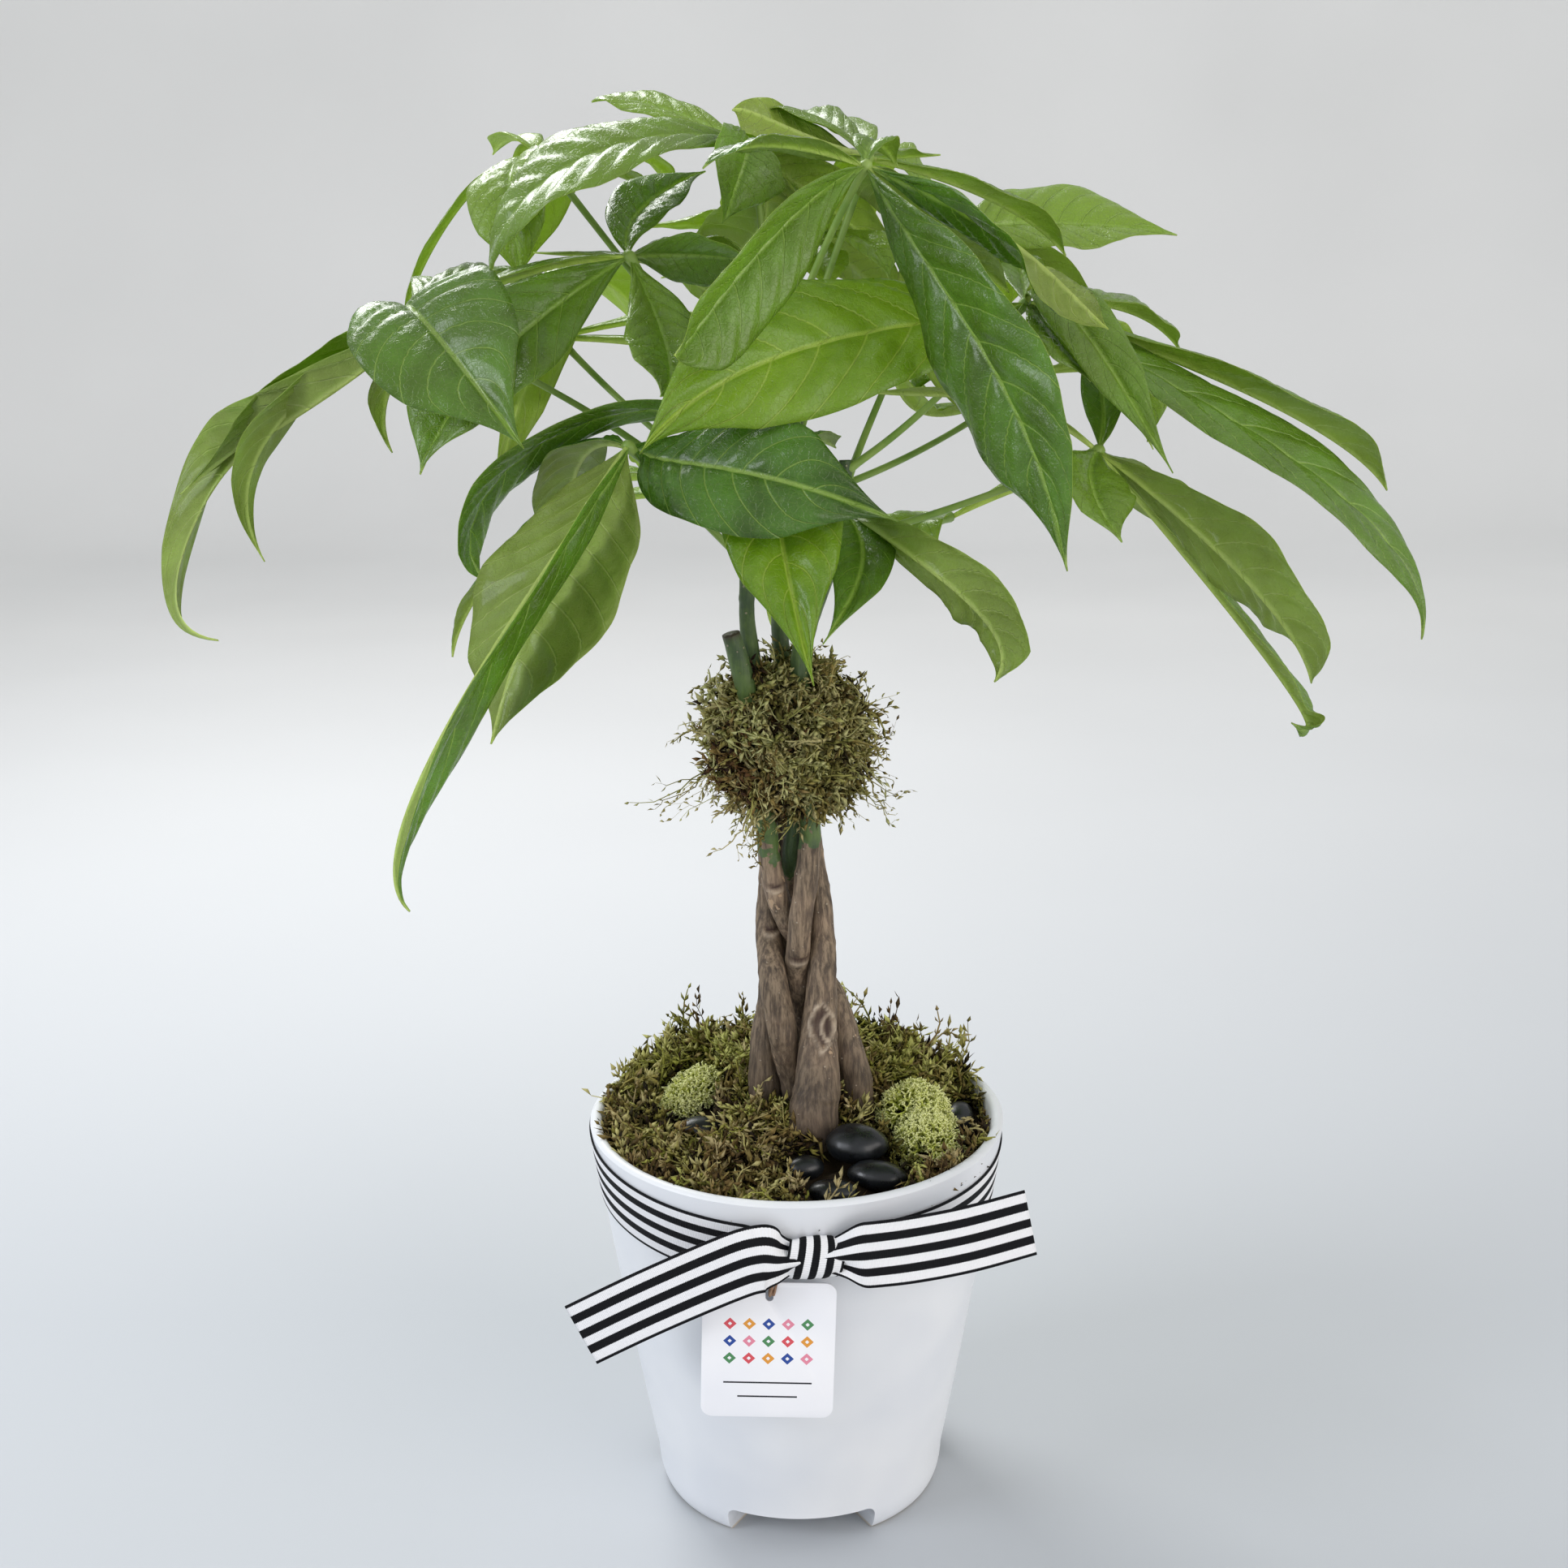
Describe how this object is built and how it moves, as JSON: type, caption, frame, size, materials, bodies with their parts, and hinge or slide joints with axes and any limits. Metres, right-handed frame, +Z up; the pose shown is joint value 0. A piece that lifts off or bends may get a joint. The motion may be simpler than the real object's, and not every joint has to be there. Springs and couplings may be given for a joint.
{
  "type": "potted money tree",
  "caption": "Woven-stemmed money tree with palmate leaves in a footed round pot, dressed with moss, pebbles, a tied striped ribbon and a blank gift tag.",
  "frame": {"origin": "middle of the whole part's outline, on the surface it stands on (the underside of the pot's feet)", "axes": "+Z up along the stems, +X to the right seen from the front, +Y to the back; the ribbon's knot and the tag face -Y"},
  "size_m": [0.4852, 0.379, 0.566],
  "materials": {
    "glaze": "matte white glaze",
    "soil": null,
    "sphagnum": "dried sphagnum moss, olive with brown strands",
    "reindeer_moss": "preserved reindeer moss, pale lime",
    "pebble": "polished black river pebble",
    "bark": "thin grey-brown bark, greener towards the top",
    "leaf_green": null,
    "leaf_lime": null,
    "ribbon": "white grosgrain with black stripes",
    "card": "smooth white card, plain",
    "raffia": "natural raffia"
  },
  "bodies": {
    "root": {"pot": "glaze", "soil": "soil", "lichen_left": "reindeer_moss", "lichen_right": "reindeer_moss", "moss_bed": "sphagnum", "pebble_1": "pebble", "pebble_2": "pebble", "pebble_3": "pebble", "pebble_4": "pebble", "pebble_5": "pebble", "pebble_6": "pebble", "stem_1": "bark", "stem_2": "bark", "stem_3": "bark", "stem_4": "bark", "stem_5": "bark", "moss_collar": "sphagnum", "leaf_top_front": "leaf_green", "leaf_top_back": "leaf_green", "leaf_right_upper": "leaf_lime", "leaf_left_outer": "leaf_green", "leaf_left_upper": "leaf_green", "leaf_front_low": "leaf_green", "leaf_front_middle": "leaf_lime", "leaf_right_low": "leaf_green", "leaf_right_short": "leaf_green", "leaf_top_left": "leaf_green", "leaf_far_left_top": "leaf_green", "leaf_rear_right": "leaf_green", "leaf_rear_middle": "leaf_green", "leaf_back_left": "leaf_green", "leaf_back_right": "leaf_green", "leaf_back_top": "leaf_green", "leaf_back_low_left": "leaf_green", "leaf_back_low_right": "leaf_green", "ribbon": "ribbon", "tag": "card", "tag_tie": "raffia"}
  },
  "joints": []
}
